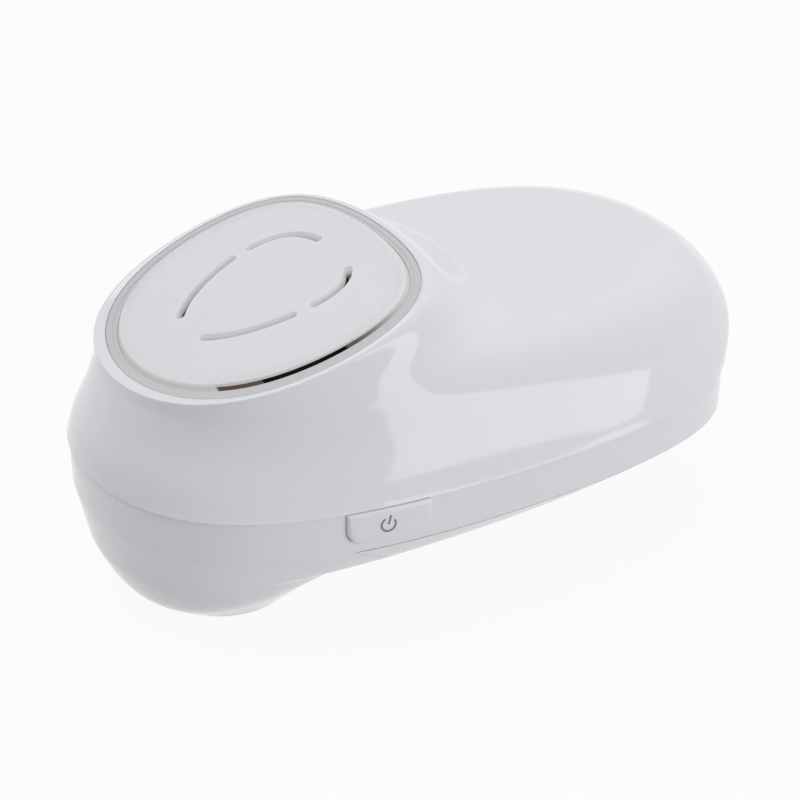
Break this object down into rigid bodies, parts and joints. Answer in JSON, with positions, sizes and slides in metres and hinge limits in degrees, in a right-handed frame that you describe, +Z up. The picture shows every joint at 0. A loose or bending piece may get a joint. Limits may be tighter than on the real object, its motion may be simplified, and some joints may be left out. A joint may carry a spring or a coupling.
{
  "type": "fetal doppler monitor",
  "caption": "Hand-held ultrasound heartbeat monitor: downward round probe head, tilted speaker pod with light ring, tapering battery tail, side power button.",
  "frame": {"origin": "centre of the flat transducer face under the probe head", "axes": "+Z up through the probe head, +X towards the battery tail, power button on the -Y side"},
  "size_m": [0.1318, 0.0786, 0.0651],
  "materials": {
    "case_white": "glossy white moulded plastic",
    "disc_white": "matt white moulded plastic",
    "button_white": "glossy white moulded plastic",
    "ring_clear": "translucent plastic",
    "led": "clear resin",
    "dark_plastic": "dark moulded plastic",
    "wheel_grey": "light grey moulded plastic",
    "cone": "pressed paper",
    "cloth": "fine black cloth",
    "foam": "closed-cell foam",
    "seal": "soft rubber",
    "steel": "plated steel",
    "magnet": "plated magnet",
    "board": "green glass-fibre board",
    "chip": "black epoxy",
    "can_aluminium": "drawn aluminium",
    "cup_aluminium": "turned aluminium",
    "face_grey": "light grey acoustic resin",
    "ceramic": "piezo ceramic",
    "battery_case": "plain dark wrapper on a metal can",
    "terminal": "nickel plate"
  },
  "bodies": {
    "case": {"upper_shell": "case_white", "lower_shell": "case_white", "light_ring": "ring_clear", "ring_leds": "led", "speaker_grille": "disc_white", "grille_seat": "dark_plastic", "speaker_gasket": "foam", "speaker_basket": "steel", "speaker_cone": "cone", "speaker_magnet": "magnet", "speaker_cloth": "cloth", "main_board": "board", "processor_chip": "chip", "shield_can": "steel", "power_capacitors": "can_aluminium", "board_screws": "steel", "case_screws": "steel", "power_switch": "chip", "volume_control": "dark_plastic", "headphone_jack": "dark_plastic", "transducer_face": "face_grey", "face_seal": "seal", "piezo_crystals": "ceramic", "damping_block": "seal", "transducer_cup": "cup_aluminium", "battery": "battery_case", "battery_terminals": "terminal", "battery_snap": "dark_plastic"},
    "button": {"power_button": "button_white", "switch_plunger": "dark_plastic"},
    "wheel": {"volume_wheel": "wheel_grey"},
    "door": {"battery_door": "case_white", "door_pad": "foam"}
  },
  "joints": [
    {"name": "power_button_press", "type": "slide", "parent": "case", "child": "button", "axis": [0, 1, 0], "range_m": [0, 0.0006], "stiffness_N_per_m": 2500},
    {"name": "volume_wheel_turn", "type": "hinge", "parent": "case", "child": "wheel", "pos_m": [0.004, 0.02799, 0.0269], "axis": [0, 0, 1], "range_deg": [-140, 140]},
    {"name": "battery_door_slide", "type": "slide", "parent": "case", "child": "door", "axis": [1, 0, 0], "range_m": [0, 0.008]}
  ]
}
